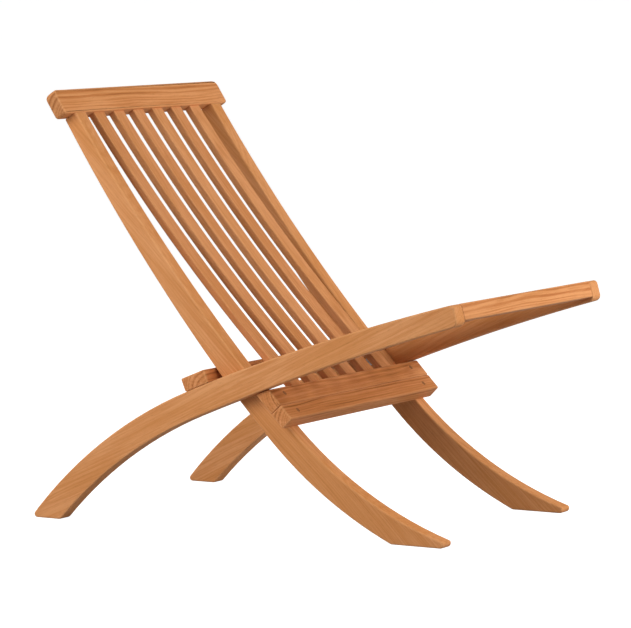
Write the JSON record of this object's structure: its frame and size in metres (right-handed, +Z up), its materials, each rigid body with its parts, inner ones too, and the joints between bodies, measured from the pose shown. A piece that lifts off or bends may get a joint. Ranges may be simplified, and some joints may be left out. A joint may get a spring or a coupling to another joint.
{
  "type": "folding chair",
  "caption": "Low folding lounge chair in oiled hardwood: a slatted back frame and a slatted seat frame with curved legs cross at one pivot.",
  "frame": {"origin": "on the floor, at the middle of the chair's footprint", "axes": "+X to the sitter's left, -Y to the front, +Z up"},
  "size_m": [0.56, 0.8378, 0.7539],
  "materials": {
    "frame_timber": "oiled, satin, fine straight grain",
    "cross_timber": "oiled, satin, fine straight grain",
    "slat_timber": "oiled, satin, fine straight grain",
    "plug_timber": "oiled, end grain",
    "stainless_steel": "satin",
    "brass": "satin"
  },
  "bodies": {
    "back_frame": {"back_stile_left": "frame_timber", "back_stile_right": "frame_timber", "top_rail": "cross_timber", "back_slat_1": "slat_timber", "back_slat_2": "slat_timber", "back_slat_3": "slat_timber", "back_slat_4": "slat_timber", "back_slat_5": "slat_timber", "back_slat_6": "slat_timber", "board_upper_strip": "cross_timber", "board_lower_strip": "cross_timber", "board_screws": "stainless_steel", "board_plugs": "plug_timber"},
    "seat_frame": {"seat_rail_left": "frame_timber", "seat_rail_right": "frame_timber", "front_bar": "cross_timber", "front_bar_dowels": "plug_timber", "rear_crossbar": "cross_timber", "seat_slat_1": "slat_timber", "seat_slat_2": "slat_timber", "seat_slat_3": "slat_timber", "seat_slat_4": "slat_timber", "seat_slat_5": "slat_timber", "seat_slat_6": "slat_timber", "seat_slat_7": "slat_timber", "crossbar_screws": "stainless_steel", "crossbar_plugs": "plug_timber", "slat_screws": "stainless_steel", "pivot_bolt_left": "stainless_steel", "pivot_bolt_right": "stainless_steel", "pivot_insert_left": "brass", "pivot_insert_right": "brass", "pivot_washer_left": "stainless_steel", "pivot_washer_right": "stainless_steel"}
  },
  "joints": [
    {"name": "fold", "type": "hinge", "parent": "back_frame", "child": "seat_frame", "pos_m": [0, 0.0112, 0.253], "axis": [-1, 0, 0], "range_deg": [0, 105]}
  ]
}
